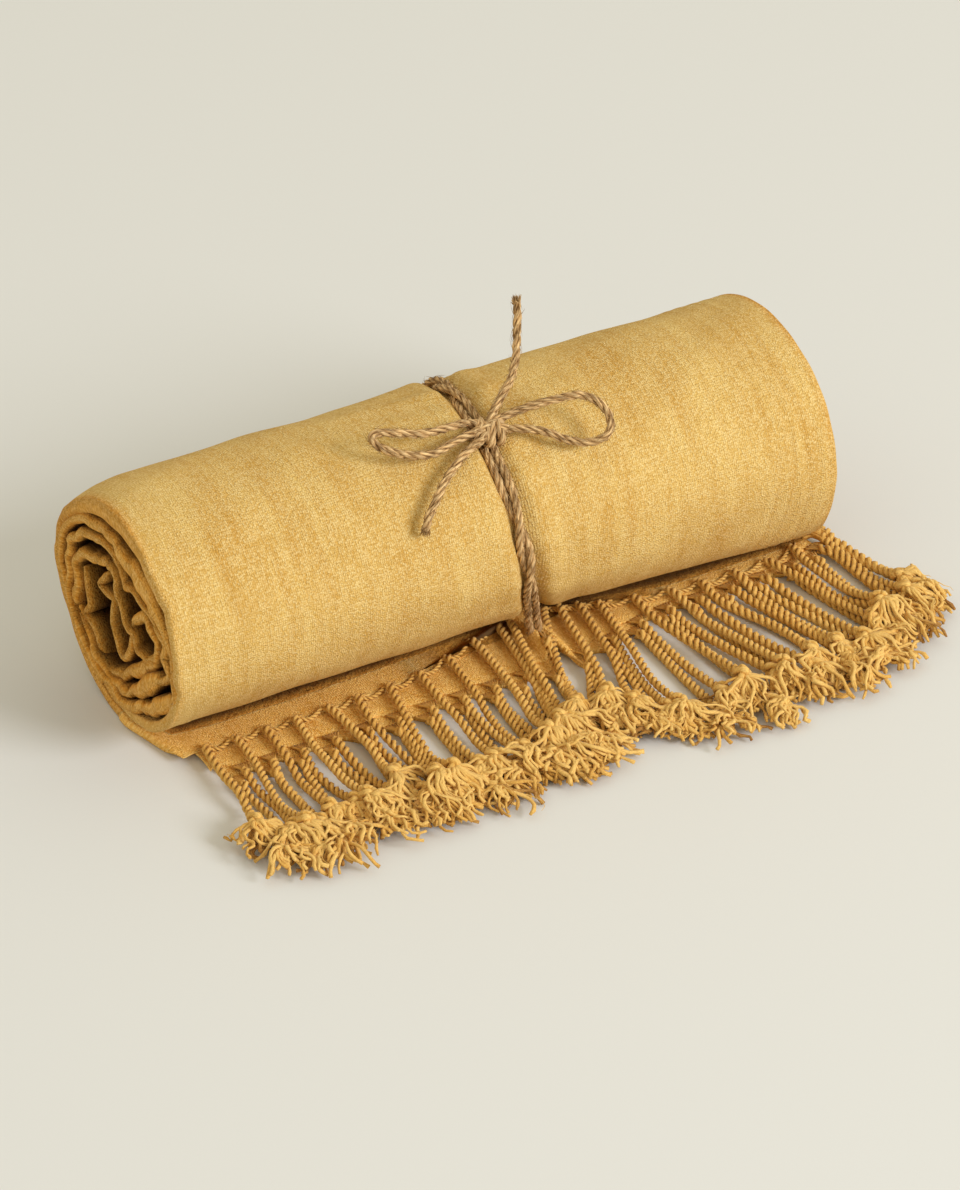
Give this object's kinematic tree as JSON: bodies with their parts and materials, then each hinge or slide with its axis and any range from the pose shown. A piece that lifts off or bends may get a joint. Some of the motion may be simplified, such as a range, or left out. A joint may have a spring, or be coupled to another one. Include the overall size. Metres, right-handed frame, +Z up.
{
  "type": "rolled chenille bedspread tied with twine",
  "caption": "Soft bedspread of woven chenille, folded and rolled up, tied round the middle with a jute twine bow; its loose end shows rows of knotted fringe lying on the floor.",
  "frame": {"origin": "the middle of the roll's flat underside, on the surface it rests on", "axes": "+X along the roll from its crumpled end on the left to its plainer end on the right; +Y towards the back; -Y towards the front, where the loose end and its fringe lie; +Z up"},
  "size_m": [0.4758, 0.2837, 0.2004],
  "materials": {
    "chenille": "soft woven chenille with a velvet sheen, ochre",
    "fringe": "twisted and knotted yarn, ochre",
    "jute": "fuzzy two-ply jute, natural brown"
  },
  "bodies": {
    "root": {"bedspread": "chenille", "fringe_upper": "fringe", "fringe_middle": "fringe", "fringe_lower": "fringe", "wrap_left": "jute", "wrap_right": "jute", "bow_knot": "jute", "loop_left": "jute", "loop_right": "jute", "end_up": "jute", "end_down": "jute"}
  },
  "joints": []
}
